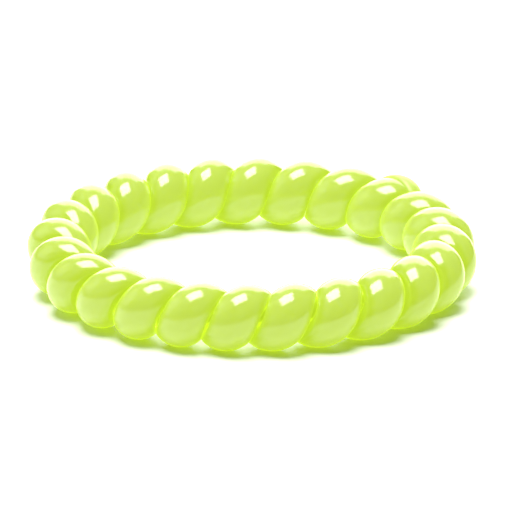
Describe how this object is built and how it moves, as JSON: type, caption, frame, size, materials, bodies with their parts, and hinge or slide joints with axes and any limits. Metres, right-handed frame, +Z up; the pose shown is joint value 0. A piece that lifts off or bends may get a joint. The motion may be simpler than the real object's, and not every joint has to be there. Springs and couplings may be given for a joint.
{
  "type": "spring coil ring",
  "caption": "Closed ring of translucent lime plastic cord wound as a tight coil, which stretches and springs back, worn as a hair tie or bracelet and used as a fidget toy.",
  "frame": {"origin": "centre of the ring's bounding box, on the surface that it lies on", "axes": "+Z up, along the ring's own axis; -Y is the side seen in the picture's foreground; the weld is at the back right, 42 degrees from +X towards +Y"},
  "size_m": [0.0547, 0.0547, 0.0082],
  "materials": {
    "lime_cord": "glossy, translucent soft plastic",
    "weld_lime": "glossy, fused soft plastic"
  },
  "bodies": {
    "start_half": {"coil_start_half": "lime_cord", "weld_bead": "weld_lime"},
    "turn_01": {"coil_turn_01": "lime_cord"},
    "turn_02": {"coil_turn_02": "lime_cord"},
    "turn_03": {"coil_turn_03": "lime_cord"},
    "turn_04": {"coil_turn_04": "lime_cord"},
    "turn_05": {"coil_turn_05": "lime_cord"},
    "turn_06": {"coil_turn_06": "lime_cord"},
    "turn_07": {"coil_turn_07": "lime_cord"},
    "turn_08": {"coil_turn_08": "lime_cord"},
    "turn_09": {"coil_turn_09": "lime_cord"},
    "turn_10": {"coil_turn_10": "lime_cord"},
    "turn_11": {"coil_turn_11": "lime_cord"},
    "turn_12": {"coil_turn_12": "lime_cord"},
    "turn_13": {"coil_turn_13": "lime_cord"},
    "turn_14": {"coil_turn_14": "lime_cord"},
    "turn_15": {"coil_turn_15": "lime_cord"},
    "turn_16": {"coil_turn_16": "lime_cord"},
    "turn_17": {"coil_turn_17": "lime_cord"},
    "turn_18": {"coil_turn_18": "lime_cord"},
    "turn_19": {"coil_turn_19": "lime_cord"},
    "turn_20": {"coil_turn_20": "lime_cord"},
    "turn_21": {"coil_turn_21": "lime_cord"},
    "turn_22": {"coil_turn_22": "lime_cord"},
    "turn_23": {"coil_turn_23": "lime_cord"},
    "end_half": {"coil_end_half": "lime_cord"}
  },
  "joints": [
    {"name": "stretch_12", "type": "slide", "parent": "turn_12", "child": "turn_11", "axis": [-0.5271, 0.8498, 0], "range_m": [0, 0.00445], "stiffness_N_per_m": 300},
    {"name": "stretch_11", "type": "slide", "parent": "turn_11", "child": "turn_10", "axis": [-0.2739, 0.9618, 0], "range_m": [0, 0.00466]},
    {"name": "stretch_10", "type": "slide", "parent": "turn_10", "child": "turn_09", "axis": [0.0092, 1, 0], "range_m": [0, 0.00474]},
    {"name": "stretch_09", "type": "slide", "parent": "turn_09", "child": "turn_08", "axis": [0.2921, 0.9564, 0], "range_m": [0, 0.00468]},
    {"name": "stretch_08", "type": "slide", "parent": "turn_08", "child": "turn_07", "axis": [0.5449, 0.8385, 0], "range_m": [0, 0.0045]},
    {"name": "stretch_07", "type": "slide", "parent": "turn_07", "child": "turn_06", "axis": [0.7474, 0.6644, 0], "range_m": [0, 0.00429]},
    {"name": "stretch_06", "type": "slide", "parent": "turn_06", "child": "turn_05", "axis": [0.8914, 0.4533, 0], "range_m": [0, 0.00412]},
    {"name": "stretch_05", "type": "slide", "parent": "turn_05", "child": "turn_04", "axis": [0.9756, 0.2195, 0], "range_m": [0, 0.00406]},
    {"name": "stretch_04", "type": "slide", "parent": "turn_04", "child": "turn_03", "axis": [0.9996, -0.0272, 0], "range_m": [0, 0.0041]},
    {"name": "stretch_03", "type": "slide", "parent": "turn_03", "child": "turn_02", "axis": [0.961, -0.2767, 0], "range_m": [0, 0.00421]},
    {"name": "stretch_02", "type": "slide", "parent": "turn_02", "child": "turn_01", "axis": [0.8574, -0.5147, 0], "range_m": [0, 0.00433]},
    {"name": "stretch_01", "type": "slide", "parent": "turn_01", "child": "start_half", "axis": [0.6913, -0.7226, 0], "range_m": [0, 0.00443]},
    {"name": "stretch_13", "type": "slide", "parent": "turn_12", "child": "turn_13", "axis": [0.7304, -0.683, 0], "range_m": [0, 0.0042]},
    {"name": "stretch_14", "type": "slide", "parent": "turn_13", "child": "turn_14", "axis": [0.8764, -0.4815, 0], "range_m": [0, 0.00399]},
    {"name": "stretch_15", "type": "slide", "parent": "turn_14", "child": "turn_15", "axis": [0.9656, -0.2599, 0], "range_m": [0, 0.00388]},
    {"name": "stretch_16", "type": "slide", "parent": "turn_15", "child": "turn_16", "axis": [0.9997, -0.0264, 0], "range_m": [0, 0.00389]},
    {"name": "stretch_17", "type": "slide", "parent": "turn_16", "child": "turn_17", "axis": [0.9773, 0.2121, 0], "range_m": [0, 0.00399]},
    {"name": "stretch_18", "type": "slide", "parent": "turn_17", "child": "turn_18", "axis": [0.8954, 0.4452, 0], "range_m": [0, 0.00414]},
    {"name": "stretch_19", "type": "slide", "parent": "turn_18", "child": "turn_19", "axis": [0.7534, 0.6575, 0], "range_m": [0, 0.00427]},
    {"name": "stretch_20", "type": "slide", "parent": "turn_19", "child": "turn_20", "axis": [0.5566, 0.8308, 0], "range_m": [0, 0.00436]},
    {"name": "stretch_21", "type": "slide", "parent": "turn_20", "child": "turn_21", "axis": [0.3171, 0.9484, 0], "range_m": [0, 0.00442]},
    {"name": "stretch_22", "type": "slide", "parent": "turn_21", "child": "turn_22", "axis": [0.0523, 0.9986, 0], "range_m": [0, 0.00445]},
    {"name": "stretch_23", "type": "slide", "parent": "turn_22", "child": "turn_23", "axis": [-0.2179, 0.976, 0], "range_m": [0, 0.00447]},
    {"name": "stretch_24", "type": "slide", "parent": "turn_23", "child": "end_half", "axis": [-0.4725, 0.8813, 0], "range_m": [0, 0.00447]}
  ],
  "couplings": [
    {"joint": "stretch_11", "follows": "stretch_12", "ratio": 1.0459},
    {"joint": "stretch_10", "follows": "stretch_12", "ratio": 1.0645},
    {"joint": "stretch_09", "follows": "stretch_12", "ratio": 1.0501},
    {"joint": "stretch_08", "follows": "stretch_12", "ratio": 1.0105},
    {"joint": "stretch_07", "follows": "stretch_12", "ratio": 0.96265},
    {"joint": "stretch_06", "follows": "stretch_12", "ratio": 0.92538},
    {"joint": "stretch_05", "follows": "stretch_12", "ratio": 0.91083},
    {"joint": "stretch_04", "follows": "stretch_12", "ratio": 0.92019},
    {"joint": "stretch_03", "follows": "stretch_12", "ratio": 0.94501},
    {"joint": "stretch_02", "follows": "stretch_12", "ratio": 0.97277},
    {"joint": "stretch_01", "follows": "stretch_12", "ratio": 0.99342},
    {"joint": "stretch_13", "follows": "stretch_12", "ratio": 0.94308},
    {"joint": "stretch_14", "follows": "stretch_12", "ratio": 0.89493},
    {"joint": "stretch_15", "follows": "stretch_12", "ratio": 0.87022},
    {"joint": "stretch_16", "follows": "stretch_12", "ratio": 0.87298},
    {"joint": "stretch_17", "follows": "stretch_12", "ratio": 0.89661},
    {"joint": "stretch_18", "follows": "stretch_12", "ratio": 0.92881},
    {"joint": "stretch_19", "follows": "stretch_12", "ratio": 0.95824},
    {"joint": "stretch_20", "follows": "stretch_12", "ratio": 0.97916},
    {"joint": "stretch_21", "follows": "stretch_12", "ratio": 0.99189},
    {"joint": "stretch_22", "follows": "stretch_12", "ratio": 0.99956},
    {"joint": "stretch_23", "follows": "stretch_12", "ratio": 1.0039},
    {"joint": "stretch_24", "follows": "stretch_12", "ratio": 1.0032}
  ]
}
